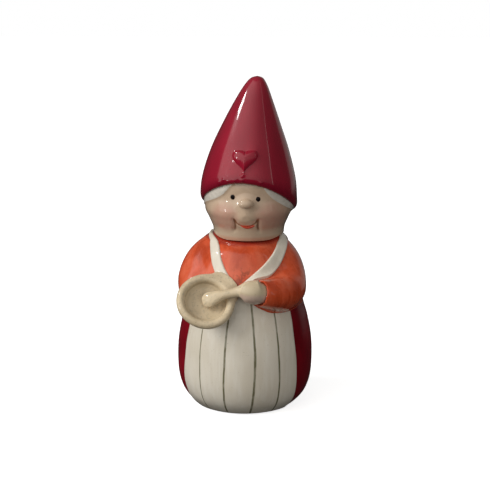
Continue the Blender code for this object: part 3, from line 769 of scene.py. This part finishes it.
def black_enamel():
    glaze = Glaze("eye_enamel", roughness=0.2, coat=0.15, shift=HEAD_SHIFT)
    off = None
    for x, z, wide, tall in EYES:
        far = abs((glaze.x - x) / wide) ** 2 + abs((glaze.z - z) / tall) ** 2
        off = far if off is None else off.math("MINIMUM", off, far)
    colour = glaze.mix(off.step(0.70, 1.0), (0.006, 0.004, 0.004), (0.07, 0.035, 0.022))
    return glaze.paint(colour, 0.16 + glaze.noise(0.8) * 0.08)


EYE_BLACK = black_enamel()
for name, eye in zip(("right_eye", "left_eye"), EYES):
    piece(name, enamel_dot(*eye, EYE_RISE), EYE_BLACK, shift=HEAD_SHIFT)


def lip_red():
    glaze = Glaze("lip_enamel", roughness=0.25, shift=HEAD_SHIFT)
    cloud = glaze.noise(1.2, detail=2.0).step(0.3, 0.7)
    colour = glaze.mix(cloud, (0.50, 0.062, 0.028), (0.40, 0.045, 0.02))
    return glaze.paint(colour, 0.2 + glaze.noise(1) * 0.1)


LIP_MIDDLE = 0.9
LIP_HALF = 3.2
LIP_FOOT = 84.4
LIP_BEND = 1.55
LIP_FULLNESS = 1.65
LIP_END = 0.07
LIP_RISE = 0.38
lip_share = np.linspace(-1, 1, 40)
lip_x = LIP_MIDDLE + LIP_HALF * lip_share
lip_low = LIP_FOOT + LIP_BEND * lip_share ** 2
lip_high = lip_low + LIP_FULLNESS * (1 - lip_share ** 2) + LIP_END * lip_share ** 2
lip_edges = (np.stack([lip_x, height], -1) for height in (lip_low, lip_high))
lip_shape = band(*lip_edges, on_face, LIP_RISE, 0.6, 14, sunk=0.3, ends=(0.6, 0.6))
piece("lips", lip_shape, lip_red(), shift=HEAD_SHIFT)


# ---------------------------------------------------------------- hair
# A roll of hair is laid round the head under the hat's edge, from one temple round the nape to the other.
# It is combed with a tool while soft and glazed a cool off-white.

# Its lower edge on each side as (degrees from the middle of her face, height).
RIGHT_HAIRLINE = [(18, 104.6), (22, 103.0), (27, 101.2), (34, 99.1), (45, 97.2), (60, 95.5), (75, 94.0),
                  (90, 92.3), (120, 88.4), (150, 85.4)]
LEFT_HAIRLINE = [(25, 102.6), (29, 100.8), (35, 98.6), (45, 96.0), (60, 93.3), (75, 91.5), (90, 90.2),
                 (120, 87.4), (150, 85.1)]
NAPE_HEIGHT = 84.2
HAIR_FILLET = 1.8
HAIR_RISE = 0.55
HAIR_ROLL = 2.6
# The hat's edge: its height at the side, its slope and bow from front to back, and its tilt to her left.
HAT_EDGE = (92.55, -0.39, 0.0074)
HAT_TILT = 0.062
HAT_EDGE_RADIUS = 21.9


def hat_edge(angle):
    """Height of the hat's lower edge round the head: high over the brow and low at the nape."""
    depth = -HAT_EDGE_RADIUS * np.cos(np.radians(angle))
    side, slope, bow = HAT_EDGE
    lower = HAT_TILT * HAT_EDGE_RADIUS * np.sin(np.radians(angle))
    return side - lower + slope * depth + bow * depth ** 2


def off_white():
    glaze = Glaze("hair_glaze", roughness=0.3, coat=0.8, coat_roughness=0.05, shift=HEAD_SHIFT)
    combed = glaze.noise(1.0, (2.5, 2.5, 1.0), detail=3.0, warp=0.4)
    colour = glaze.mix(combed.step(0.2, 0.8), (0.53, 0.48, 0.41), (0.61, 0.57, 0.50))
    colour = glaze.mix(glaze.noise(6).step(0.5, 0.75) * 0.4, colour, (0.46, 0.42, 0.34))
    glaze.relief(combed, 0.05)
    return glaze.paint(colour, 0.3 + combed * 0.15)


far_side = [(360 - angle, height) for angle, height in reversed(RIGHT_HAIRLINE)]
hair_low = evenly(smooth_line([*LEFT_HAIRLINE, (180, NAPE_HEIGHT), *far_side], 10), 260)
hair_high = np.stack([hair_low[:, 0], np.maximum(hat_edge(hair_low[:, 0]) + 3.0, hair_low[:, 1] + 1.0)], -1)


def on_hairline(angle, height, rise):
    """The point on the head, raised a little more along each combed strand."""
    return on_head(angle, height, rise * (1 + 0.05 * np.sin(np.radians(angle) * 34 + height * 1.9)))


hair_plain = band(hair_high, hair_low, on_hairline, HAIR_RISE, HAIR_ROLL, 30, ends=(2.8, 2.8))
hair_shape = luted(hair_plain, [head_plain], HAIR_FILLET)
# The head's skin rises to meet the hair at her temples; round the back the hair lies on it with an edge.
nosed, head_faces = nosed_head
haired, _ = luted(nosed_head, [hair_plain], HAIR_FILLET)
head_shape = nosed + ease(-nosed[:, 1], 1, 5)[:, None] * (haired - nosed), head_faces
piece("head", head_shape, SKIN, ["head_shell"], HEAD_SHIFT)
piece("hair_roll", hair_shape, off_white(), ["hair"], HEAD_SHIFT)


# ---------------------------------------------------------------- hat
# The tall hat is a hollow cone that seats over the crown, with its edge rolled in and its tip leaning to her
# left. A small heart is pressed from a sprig mould and luted on its front, under one thick crimson glaze.

HAT_POINTS = [(21.9, 86), (21.9, 95), (21.0, 105), (17.4, 118), (12.3, 130.6), (7.4, 141.4), (4.9, 146.3),
              (2.7, 149.1), (0.0, 150)]
HAT_LINING = [(20.2, 85), (20.2, 91), (19.7, 98), (19.4, 103), (17.9, 109), (14.4, 118), (8.6, 131),
              (3.6, 141), (0.2, 144)]
LINING_ROWS = 40
HAT_WAVE = 0.14
HAT_LINE = smooth_line(HAT_POINTS, 14)
HAT_TIP = HAT_POINTS[-1][1]
LEAN_START = 100.0
LEAN = 0.0015
EDGE_ROLL = (1.5, 3.2)
# Small runs in the glaze over the brow, as (x, z, size, height).
HAT_BUMPS = ((-9.5, 106.3, 0.9, 0.35), (-7.6, 105.6, 0.8, 0.30), (-5.0, 105.9, 1.1, 0.28),
             (-1.2, 108.3, 0.8, 0.4), (-1.6, 106.2, 0.9, 0.3), (6.9, 105.2, 0.8, 0.25),
             (-11.5, 104.9, 1.2, 0.3))


def leaned(points):
    above = np.maximum(points[..., 2] - LEAN_START, 0)
    return points + (LEAN * above ** 2)[..., None] * (1, 0, 0)


def on_hat(x, height, rise):
    """The point on the front of the hat at this sideways place and height, raised from its surface."""
    turn = np.arcsin(np.clip(x / radius_at(HAT_LINE, height), -1, 1))
    return leaned(on_turned(HAT_LINE, turn, height, rise))


def crimson():
    glaze = Glaze("hat_glaze", roughness=0.22, coat_roughness=0.015, shift=HEAD_SHIFT)
    pooled = glaze.noise(16, (1, 1, 2.5), detail=2.0).step(0.3, 0.7)
    colour = glaze.mix(pooled, (0.31, 0.010, 0.028), (0.235, 0.006, 0.020))
    front = (glaze.y * -1).step(-30, 30)
    side, slope, bow = HAT_EDGE
    above = glaze.z - side + glaze.x * HAT_TILT - glaze.y * slope - glaze.y * glaze.y * bow
    # Painted shade: the crimson darkens towards the hat's lower edge, where the rolled edge turns in and
    # under.
    edge = above.step(7, 1.2)
    colour = glaze.mix(edge * 0.55, colour, (0.12, 0.002, 0.012))
    colour = glaze.mix(glaze.z.step(138, 149) * 0.35 * front, colour, (0.42, 0.04, 0.06))
    colour = speckled(glaze, colour, (0.10, 0.003, 0.01), 0.9, 0.35)
    glaze.relief(glaze.noise(3.2, (1, 1, 1.6), detail=2.0), 0.02)
    return glaze.paint(colour, 0.2 + glaze.noise(8) * 0.08)


HAT_RED = crimson()
hat_angles = np.linspace(-180, 180, 300, endpoint=False)
turns = np.radians(hat_angles)[None, :]
edge_height = hat_edge(hat_angles)[None, :]
rise_share = np.concatenate([np.linspace(0, 1, 26) ** 1.7 * 0.09, np.linspace(0.098, 0.93, 90),
                             1 - np.linspace(0.26, 0.02, 14) ** 2])[:, None]
outer_height = edge_height + (HAT_TIP - edge_height) * rise_share
outer_radius = radius_at(HAT_LINE, outer_height)
depth, roll_height = EDGE_ROLL
from_edge = np.clip((outer_height - edge_height) / roll_height, 0, 1)
outer_radius = outer_radius - depth * (1 - np.sqrt(1 - (1 - from_edge) ** 2))
lining = np.array(HAT_LINING)
inner_share = np.linspace(1, 0, LINING_ROWS)[:, None]
inner_height = edge_height + 0.5 + (lining[-1, 1] - edge_height - 0.5) * inner_share
inner_radius = radius_at(lining, inner_height)
mouth_radius = (inner_radius[-1] + outer_radius[0])[None, :] / 2
hat_radius = np.vstack([inner_radius, mouth_radius, outer_radius])
hat_height = np.vstack([inner_height, edge_height - 0.12, outer_height])
hat_grid = np.stack([hat_radius * np.sin(turns), -hat_radius * np.cos(turns), hat_height], -1)
swell = HAT_WAVE * unevenness(hat_grid) * ease(hat_height, edge_height + 1, edge_height + 8)
for x, z, size, height in HAT_BUMPS:
    far = np.hypot(hat_grid[..., 0] - x, hat_grid[..., 2] - z)
    swell = swell + height * np.exp(-(far / size) ** 2) * (hat_grid[..., 1] < 0)
swell[:LINING_ROWS] = 0
hat_out = hat_grid * (1, 1, 0) / np.maximum(hat_radius, 0.5)[..., None]
hat_plain = closed(leaned(hat_grid + swell[..., None] * hat_out))

HEART_PLACE = (-0.6, 115.3)
HEART_SIZE = (6.1, 5.9)
HEART_EDGE = 0.55
HEART_SWELL = 1.25
HEART_FILLET = 1.0


def heart_outline(turn):
    across_heart = np.sin(turn) ** 3
    up_heart = (13 * np.cos(turn) - 5 * np.cos(2 * turn) - 2 * np.cos(3 * turn) - np.cos(4 * turn)) / 16
    filled = 0.24 * np.exp(-(across_heart / 0.32) ** 2) * (np.cos(turn) > 0)
    return across_heart, np.minimum(up_heart + filled, 0.42 + 0.35 * up_heart)


def sprig_heart():
    """Rings from the heart's middle out to its edge and back underneath."""
    turn = np.linspace(0, 2 * np.pi, 120, endpoint=False)[None, :]
    share = np.concatenate([[0.03], np.linspace(0.1, 0.7, 12), 1 - np.linspace(0.26, 0, 12) ** 1.6])[:, None]
    height = HEART_EDGE * np.sqrt(np.maximum(1 - share ** 7, 0)) + HEART_SWELL * (1 - share ** 1.4)
    share, height = np.vstack([share, share[::-1]]), np.vstack([height, -0.5 + 0 * height])
    across_heart, up_heart = heart_outline(turn)
    x, z = across_heart * share * HEART_SIZE[0], (up_heart * share + 0.10 * (1 - share)) * HEART_SIZE[1]
    return closed(on_hat(HEART_PLACE[0] + x, HEART_PLACE[1] + z, height + 0 * x))


heart_plain = sprig_heart()
hat_shape = luted(hat_plain, [heart_plain], HEART_FILLET, under=0.3)
heart_shape = luted(heart_plain, [hat_plain], HEART_FILLET, under=0.3)
piece("hat", hat_shape, HAT_RED, ["hat_shell"], HEAD_SHIFT)
piece("heart", heart_shape, HAT_RED, ["hat_heart"], HEAD_SHIFT)


# ---------------------------------------------------------------- dish, spoon and hands
# A thrown dish is held against her right side, its rim smoothed into the chest where it leans on the strap.
# A long spoon lies in it and runs into her left hand; both are glazed in a speckled cream.

DISH_CENTRE = np.array([-14.2, -33.4, 55.6])
DISH_FACING = np.array([0.188, -0.808, 0.559])
DISH_LIP = 1.85
DISH_RADIUS = 12.65
DISH_DEPTH = 4.5
DISH_HEIGHT = 6.0
DISH_FOOT = 7.0
# Where its rim is smeared on to the chest: the angle round the rim, how wide, how far out and how far back.
SMEAR_ANGLE = math.radians(142)
SMEAR_WIDTH = math.radians(30)
SMEAR_OUT = 3.0
SMEAR_BACK = 0.9
SPOON_ROUTE = [(-15.6, -31.0, 53.9), (-13.4, -31.4, 55.1), (-9.4, -31.7, 56.8), (-5.4, -32.2, 58.1),
               (-1.0, -32.5, 59.2), (4.0, -32.6, 61.0), (8.6, -32.0, 61.6)]
SPOON_HALVES = [(2.2, 1.0), (3.6, 1.6), (2.7, 1.8), (2.0, 1.8), (2.2, 1.9), (2.6, 2.1), (2.6, 2.1)]
LEFT_HAND = [(12.6, -27.6, 57.4, 3.6), (10.4, -29.2, 57.8, 4.1), (8.7, -30.4, 58.3, 4.7),
             (6.6, -31.3, 58.7, 5.1), (4.4, -31.9, 58.7, 4.8), (2.2, -32.1, 58.4, 3.8),
             (1.0, -32.1, 58.2, 2.0)]
RIGHT_HAND = [(-18.9, -19.4, 52.3, 5.2), (-18.2, -21.6, 51.9, 5.3), (-17.0, -24.2, 51.4, 4.9),
              (-15.9, -25.8, 51.0, 3.8), (-15.2, -26.8, 50.8, 2.4)]

dish_side = np.cross((0, 0, 1), -DISH_FACING)
dish_side /= np.linalg.norm(dish_side)
dish_up = np.cross(dish_side, -DISH_FACING)
dish_up *= np.sign(dish_up[2])
lip = [(DISH_RADIUS - DISH_LIP + DISH_LIP * math.cos(a), -DISH_LIP + DISH_LIP * math.sin(a))
       for a in np.radians(np.linspace(170, -25, 15))]
dish_section = evenly([(0.4, -DISH_DEPTH), (5.0, -DISH_DEPTH), (7.4, -DISH_DEPTH + 0.3),
                       (8.8, -DISH_DEPTH + 1.5), *lip, (12.0, -3.4),
                       (DISH_FOOT + 3.4, -DISH_HEIGHT + 1.4), (DISH_FOOT + 1.6, -DISH_HEIGHT + 0.2),
                       (DISH_FOOT, -DISH_HEIGHT), (0.4, -DISH_HEIGHT)], 110)
turn = np.linspace(0, 2 * np.pi, 180, endpoint=False)[None, :]
reach, level = dish_section.T[:, :, None]
wave = 1 + 0.012 * np.sin(2 * turn + 0.6) + 0.008 * np.sin(3 * turn + 2.0)
level = level + ease(reach, 8, 12) * (0.22 * np.sin(2 * turn + 1.1) + 0.12 * np.sin(5 * turn))
smeared = np.exp(-((turn - SMEAR_ANGLE) / SMEAR_WIDTH) ** 2) * ease(reach, 11.3, 12.6)
reach, level = reach + SMEAR_OUT * smeared, level - SMEAR_BACK * smeared
dish_rings = (DISH_CENTRE + (reach * wave * np.cos(turn))[..., None] * dish_side
              + (reach * wave * np.sin(turn))[..., None] * dish_up + level[..., None] * DISH_FACING)
dish_plain = closed(dish_rings)


def cream():
    glaze = Glaze("dish_glaze", roughness=0.3, coat=0.8, coat_roughness=0.05)
    cloud = glaze.noise(6, detail=4.0).step(0.3, 0.7)
    colour = glaze.mix(cloud, (0.66, 0.54, 0.365), (0.57, 0.46, 0.30))
    grey = glaze.noise(1.3, detail=3.0).step(0.5, 0.7) * 0.5
    colour = glaze.mix(grey, colour, (0.40, 0.345, 0.245))
    colour = speckled(glaze, colour, (0.20, 0.145, 0.08), 0.55, 0.7)
    glaze.relief(glaze.noise(1.3, detail=4.0), 0.16)
    return glaze.paint(colour, 0.28 + glaze.noise(2.5) * 0.15)


def pink_mitten():
    glaze = Glaze("hand_glaze", roughness=0.28)
    cloud = glaze.noise(4).step(0.3, 0.7)
    colour = glaze.mix(cloud, (0.57, 0.435, 0.345), (0.52, 0.375, 0.295))
    upper = (glaze.z + glaze.x * 0.05 + glaze.noise(3) * 1.2).step(58.4, 60.6)
    colour = glaze.mix(upper, colour, (0.55, 0.45, 0.30))
    colour = speckled(glaze, colour, (0.25, 0.17, 0.11), 0.6, 0.4)
    glaze.relief(glaze.noise(1.8, detail=2.0), 0.03)
    return glaze.paint(colour, 0.24 + glaze.noise(4) * 0.1)


spoon_stations = [(*place, *halves) for place, halves in zip(SPOON_ROUTE, SPOON_HALVES)]
spoon_line = evenly(smooth_line(spoon_stations, 16), 110)
spoon_middle = spoon_line[:, :3]
spoon_plain = closed(rings_round(spoon_middle, tangents(spoon_middle), *spoon_line.T[3:], DISH_FACING, 40))
left_hand_plain = closed(limb(LEFT_HAND, 56, 60))
right_hand_plain = closed(limb(RIGHT_HAND, 40, 36))
DISH_CREAM = cream()
HAND_PINK = pink_mitten()
dish_shape = luted(luted(dish_plain, [blouse_plain], 5.0, under=0.0), [spoon_plain], 1.2)
spoon_shape = luted(luted(spoon_plain, [dish_plain], 1.2), [left_hand_plain], 2.0)
left_hand_shape = luted(left_hand_plain, [spoon_plain], 2.0)
right_hand_shape = luted(right_hand_plain, [dish_plain], 1.5)
piece("dish_bowl", dish_shape, DISH_CREAM, ["dish"])
piece("long_spoon", spoon_shape, DISH_CREAM, ["spoon"])
piece("left_hand", left_hand_shape, HAND_PINK, ["hand_left"])
piece("right_hand", right_hand_shape, HAND_PINK, ["hand_right"])


# ---------------------------------------------------------------- table and light
# The figure stands on a plain white table. A wide window in front gives the long reflection down the hat, two
# broad lamps give the soft light, and two small ones at the left give the bright glints.

TABLE_HALF = 3.0
TABLE_GLOW = 0.8


def white_table():
    glaze = Glaze("table_top", roughness=0.6, coat=0.0)
    glaze.shader.inputs["Emission Color"].default_value = (1, 1, 1, 1)
    glaze.shader.inputs["Emission Strength"].default_value = TABLE_GLOW
    return glaze.paint(glaze.mix(glaze.noise(40) * 0.1, (0.9, 0.9, 0.9), (0.86, 0.86, 0.86)))


table_mesh = bpy.data.meshes.new("table")
corners = [(x * TABLE_HALF, y * TABLE_HALF, 0) for x, y in ((-1, -1), (1, -1), (1, 1), (-1, 1))]
table_mesh.from_pydata(corners, [], [(0, 1, 2, 3)])
table_mesh.materials.append(white_table())
table = bpy.data.objects.new("table", table_mesh)
bpy.context.scene.collection.objects.link(table)
table.visible_glossy = False
table.visible_diffuse = False


def room_light():
    """A white backdrop for the camera, and for everything else a dim room with a window in front."""
    world = bpy.data.worlds.new("room")
    bpy.context.scene.world = world
    world.use_nodes = True
    room = Nodes(world.node_tree)
    background = room.tree.nodes["Background"]
    x, y, z = room.axes(room.add("ShaderNodeTexCoord").outputs["Generated"])
    turn = x.math("ARCTAN2", x, y * -1) * math.degrees(1)
    lift = z.math("ARCSINE", z) * math.degrees(1)
    sill_to_top = lift.step(1.5, 5) * lift.step(72, 60)
    window = turn.step(-88, -80) * turn.step(67, 65.5) * sill_to_top
    falling = 1.10 - 0.95 * turn.step(-45, 55)
    frame_line = abs(turn - 65).step(1.5, 0.5) * sill_to_top * 1.1
    back = abs(turn - 150).step(26, 20) * lift.step(-9, -4) * lift.step(40, 25) * 0.25
    strength = 0.02 + lift.step(-5, 30) * 0.08 + window * falling + frame_line + back
    seen = room.add("ShaderNodeLightPath").outputs["Is Camera Ray"]
    colour = room.mix(Tone(room, seen), (1.0, 0.97, 0.93), (1.0, 1.0, 1.0))
    power = strength + Tone(room, seen) * (1.0 - strength)
    room.tree.links.new(colour, background.inputs["Color"])
    room.tree.links.new(power.socket, background.inputs["Strength"])


room_light()


SOFT_SIZE = (0.45, 0.45)
LAMP_AIM = 0.09


def lamp(name, place, size, power):
    """A flat lamp at a place, facing the middle of the figure."""
    light = bpy.data.lights.new(name, "AREA")
    light.shape = "RECTANGLE"
    light.size, light.size_y = size
    light.energy = power
    obj = bpy.data.objects.new(name, light)
    obj.location = place
    middle = Vector((AXIS_X * MM, AXIS_Y * MM, LAMP_AIM))
    obj.rotation_euler = (middle - Vector(place)).to_track_quat("-Z", "Y").to_euler()
    bpy.context.scene.collection.objects.link(obj)
    return obj


lamp("glint", (-0.600, -0.150, 0.62), (0.17, 0.075), 1.15)
lamp("low_glint", (-0.80, -0.57, 0.30), (0.05, 0.14), 0.5)
for name, place, power in (("soft_key", (-0.80, -0.42, 0.55), 4.9), ("soft_fill", (0.50, -0.85, 0.20), 1.9)):
    lamp(name, place, SOFT_SIZE, power).visible_glossy = False

CAMERA_REACH = 0.600
CAMERA_HEIGHT = 0.200
CAMERA_TURN = math.radians(4.8)
AIM_HEIGHT = 0.0733
CAMERA_LENS = 99.04
CAMERA_SENSOR = 36.0
camera = bpy.data.objects.new("camera", bpy.data.cameras.new("camera"))
camera.data.lens = CAMERA_LENS
camera.data.sensor_width = CAMERA_SENSOR
camera.location = (CAMERA_REACH * math.sin(CAMERA_TURN), AXIS_Y * MM - CAMERA_REACH * math.cos(CAMERA_TURN),
                   CAMERA_HEIGHT)
aim = Vector((0, AXIS_Y * MM, AIM_HEIGHT)) - camera.location
camera.rotation_euler = aim.to_track_quat("-Z", "Y").to_euler()
bpy.context.scene.collection.objects.link(camera)
bpy.context.scene.camera = camera
bpy.context.scene.view_settings.view_transform = "Standard"
